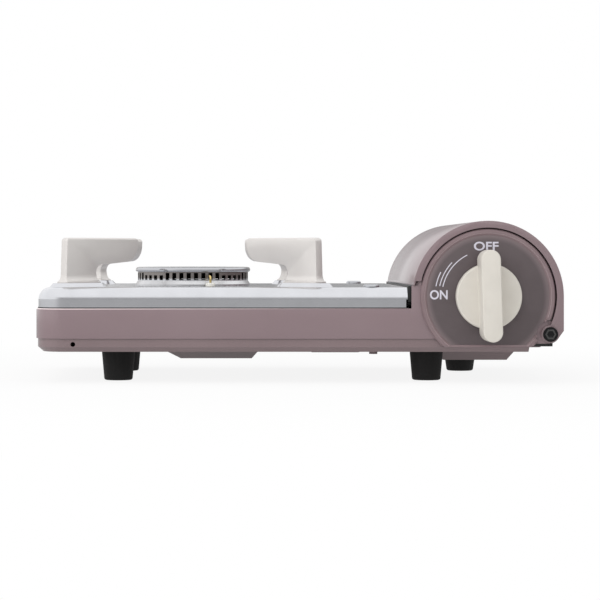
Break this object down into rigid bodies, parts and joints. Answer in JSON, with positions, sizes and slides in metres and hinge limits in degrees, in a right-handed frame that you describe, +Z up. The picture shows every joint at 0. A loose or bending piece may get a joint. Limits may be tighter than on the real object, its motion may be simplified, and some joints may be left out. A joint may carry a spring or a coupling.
{
  "type": "portable gas stove",
  "caption": "Portable cassette gas stove with slotted ring burner, four pan supports, rotary valve knob with piezo ignition and a canister bay under a hinged half-round cover",
  "frame": {"origin": "middle of the stove's overall width and depth, on the table surface", "axes": "+X to the right seen from the front, towards the canister bay; +Y to the rear; +Z up"},
  "size_m": [0.286, 0.193, 0.088],
  "materials": {
    "body_enamel": "semi-gloss mauve enamel on steel sheet",
    "pan_enamel": "semi-gloss mauve enamel on steel sheet",
    "zinc_sheet": "zinc-plated steel sheet",
    "plate_steel": "satin stainless steel sheet",
    "screw_steel": "plated steel",
    "cap_steel": "polished stainless steel",
    "ring_steel": "satin stainless steel",
    "burner_cast": "die-cast aluminium",
    "brass": "turned brass",
    "pipe_steel": "drawn steel tube",
    "ceramic": "glazed white ceramic",
    "lead_sleeve": "white silicone sleeve",
    "black_plastic": "black moulded plastic",
    "light_plastic": "natural acetal",
    "die_cast": "die-cast metal",
    "magnet": "black ferrite ring",
    "knob_plastic": "warm white moulded plastic",
    "panel_plastic": "mauve moulded plastic",
    "dial_plastic": "dark warm grey plastic with printed lettering",
    "black_screw": "blackened steel",
    "aluminium": "rolled aluminium sheet",
    "support_cast": "light enamel on steel",
    "foot_rubber": "black rubber",
    "electrode_wire": "straw-coloured heat-tinted alloy wire"
  },
  "bodies": {
    "base": {"body_shell": "body_enamel", "bottom_pan": "pan_enamel", "heat_shield": "zinc_sheet", "top_plate": "plate_steel", "plate_screws": "screw_steel", "pan_support_front_left": "support_cast", "pan_support_front_right": "support_cast", "pan_support_rear_left": "support_cast", "pan_support_rear_right": "support_cast", "support_screws": "screw_steel", "burner_cap": "cap_steel", "burner_port_ring": "ring_steel", "burner_base": "burner_cast", "mixing_tube": "zinc_sheet", "gas_nozzle": "brass", "nozzle_bracket": "zinc_sheet", "gas_pipe": "pipe_steel", "electrode_insulator": "ceramic", "electrode_pin": "electrode_wire", "electrode_bracket": "zinc_sheet", "ignition_lead": "lead_sleeve", "piezo_igniter": "black_plastic", "gas_governor": "die_cast", "governor_cap": "die_cast", "governor_bracket": "zinc_sheet", "canister_magnet": "magnet", "control_panel": "panel_plastic", "dial_plate": "dial_plastic", "hinge_bracket_front": "black_plastic", "hinge_bracket_rear": "black_plastic", "hinge_pin_front": "black_screw", "hinge_pin_rear": "black_screw", "heat_panel": "aluminium", "foot_front_left": "foot_rubber", "foot_front_right": "foot_rubber", "foot_rear_left": "foot_rubber", "foot_rear_right": "foot_rubber", "foot_screws": "screw_steel"},
    "cover": {"canister_cover": "body_enamel"},
    "knob": {"control_knob": "knob_plastic", "valve_spindle": "brass", "valve_cam": "light_plastic"},
    "plunger": {"piezo_plunger": "light_plastic"}
  },
  "joints": [
    {"name": "cover_hinge", "type": "hinge", "parent": "base", "child": "cover", "pos_m": [0.1357, 0, 0.0267], "axis": [0, 1, 0], "range_deg": [0, 90]},
    {"name": "knob_turn", "type": "hinge", "parent": "base", "child": "knob", "pos_m": [0.1022, -0.0765, 0.0472], "axis": [0, -1, 0], "range_deg": [0, 90]},
    {"name": "plunger_slide", "type": "slide", "parent": "base", "child": "plunger", "axis": [-1, 0, 0], "range_m": [0, 0.005]}
  ],
  "couplings": [
    {"joint": "plunger_slide", "follows": "knob_turn", "m_per_rad": 0.0031831}
  ]
}
